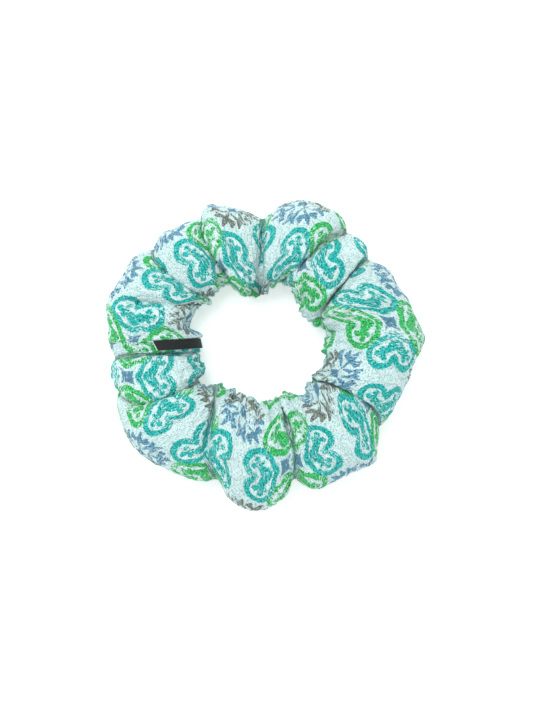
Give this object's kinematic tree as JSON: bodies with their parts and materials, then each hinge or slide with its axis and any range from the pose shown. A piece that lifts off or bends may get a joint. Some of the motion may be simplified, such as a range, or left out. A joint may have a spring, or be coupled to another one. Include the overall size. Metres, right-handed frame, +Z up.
{
  "type": "hair scrunchie",
  "caption": "Gathered cloth hair scrunchie: a printed crepe tube shirred on a flat elastic loop, with a small woven label in its closing seam.",
  "frame": {"origin": "centre of the hair opening, on the plane that the scrunchie lies on", "axes": "+Z up out of the ring's plane through the hair opening; +X to the side opposite the closing seam and its label; +Y to the 12 o'clock side when the label is at 9 o'clock"},
  "size_m": [0.1088, 0.1067, 0.0243],
  "materials": {
    "cover_cloth": "printed crepe, pale aqua ground with teal, green and slate motifs, matte",
    "sewing_thread": "spun polyester thread, matte",
    "elastic_yarn": "braided polyester yarn, matte",
    "cord_rubber": "natural rubber, satin",
    "label_cloth": "black damask-woven polyester, slight sheen"
  },
  "bodies": {
    "puff_01": {"cover_puff_01": "cover_cloth", "long_seam_stitches_01": "sewing_thread"},
    "puff_02": {"cover_puff_02": "cover_cloth", "long_seam_stitches_02": "sewing_thread"},
    "puff_03": {"cover_puff_03": "cover_cloth", "long_seam_stitches_03": "sewing_thread"},
    "puff_04": {"cover_puff_04": "cover_cloth", "long_seam_stitches_04": "sewing_thread"},
    "puff_05": {"cover_puff_05": "cover_cloth", "long_seam_stitches_05": "sewing_thread"},
    "puff_06": {"cover_puff_06": "cover_cloth", "long_seam_stitches_06": "sewing_thread"},
    "puff_07": {"cover_puff_07": "cover_cloth", "long_seam_stitches_07": "sewing_thread"},
    "puff_08": {"cover_puff_08": "cover_cloth", "long_seam_stitches_08": "sewing_thread"},
    "puff_09": {"cover_puff_09": "cover_cloth", "long_seam_stitches_09": "sewing_thread"},
    "puff_10": {"cover_puff_10": "cover_cloth", "long_seam_stitches_10": "sewing_thread", "elastic_braid": "elastic_yarn", "rubber_cords": "cord_rubber", "elastic_join_stitches": "sewing_thread"},
    "puff_11": {"cover_puff_11": "cover_cloth", "long_seam_stitches_11": "sewing_thread"},
    "puff_12": {"cover_puff_12": "cover_cloth", "long_seam_stitches_12": "sewing_thread"},
    "puff_13": {"cover_puff_13": "cover_cloth", "long_seam_stitches_13": "sewing_thread", "closing_seam_stitches": "sewing_thread"},
    "label": {"label": "label_cloth"}
  },
  "joints": [
    {"name": "ring_stretch", "type": "slide", "parent": "puff_10", "child": "puff_09", "axis": [0.9966, -0.0828, 0], "range_m": [0, 0.0152], "stiffness_N_per_m": 2500, "deforming": ["elastic_braid", "rubber_cords", "elastic_join_stitches"]},
    {"name": "gather_09_08", "type": "slide", "parent": "puff_09", "child": "puff_08", "axis": [0.8363, -0.5483, 0], "range_m": [0, 0.01237]},
    {"name": "gather_08_07", "type": "slide", "parent": "puff_08", "child": "puff_07", "axis": [0.5299, -0.848, 0], "range_m": [0, 0.01165]},
    {"name": "gather_07_06", "type": "slide", "parent": "puff_07", "child": "puff_06", "axis": [0.0349, -0.9994, 0], "range_m": [0, 0.01732]},
    {"name": "gather_06_05", "type": "slide", "parent": "puff_06", "child": "puff_05", "axis": [-0.5807, -0.8141, 0], "range_m": [0, 0.0187]},
    {"name": "gather_05_04", "type": "slide", "parent": "puff_05", "child": "puff_04", "axis": [-0.955, -0.2965, 0], "range_m": [0, 0.01708]},
    {"name": "gather_04_03", "type": "slide", "parent": "puff_04", "child": "puff_03", "axis": [-0.9659, 0.2588, 0], "range_m": [0, 0.01403]},
    {"name": "gather_03_02", "type": "slide", "parent": "puff_03", "child": "puff_02", "axis": [-0.7314, 0.682, 0], "range_m": [0, 0.01308]},
    {"name": "gather_02_01", "type": "slide", "parent": "puff_02", "child": "puff_01", "axis": [-0.2882, 0.9576, 0], "range_m": [0, 0.01615]},
    {"name": "gather_10_11", "type": "slide", "parent": "puff_10", "child": "puff_11", "axis": [-0.9153, -0.4027, 0], "range_m": [0, 0.01237]},
    {"name": "gather_11_12", "type": "slide", "parent": "puff_11", "child": "puff_12", "axis": [-0.6528, -0.7576, 0], "range_m": [0, 0.01237]},
    {"name": "gather_12_13", "type": "slide", "parent": "puff_12", "child": "puff_13", "axis": [-0.2419, -0.9703, 0], "range_m": [0, 0.01356]},
    {"name": "label_flap", "type": "hinge", "parent": "puff_13", "child": "label", "pos_m": [-0.02652, 0.00132, 0.01894], "axis": [-0.8575, -0.0509, 0.512], "range_deg": [0, 70]}
  ],
  "couplings": [
    {"joint": "gather_09_08", "follows": "ring_stretch", "ratio": 0.81306},
    {"joint": "gather_08_07", "follows": "ring_stretch", "ratio": 0.76596},
    {"joint": "gather_07_06", "follows": "ring_stretch", "ratio": 1.1384},
    {"joint": "gather_06_05", "follows": "ring_stretch", "ratio": 1.2298},
    {"joint": "gather_05_04", "follows": "ring_stretch", "ratio": 1.1231},
    {"joint": "gather_04_03", "follows": "ring_stretch", "ratio": 0.92241},
    {"joint": "gather_03_02", "follows": "ring_stretch", "ratio": 0.86002},
    {"joint": "gather_02_01", "follows": "ring_stretch", "ratio": 1.0617},
    {"joint": "gather_10_11", "follows": "ring_stretch", "ratio": 0.81306},
    {"joint": "gather_11_12", "follows": "ring_stretch", "ratio": 0.81306},
    {"joint": "gather_12_13", "follows": "ring_stretch", "ratio": 0.89125}
  ]
}
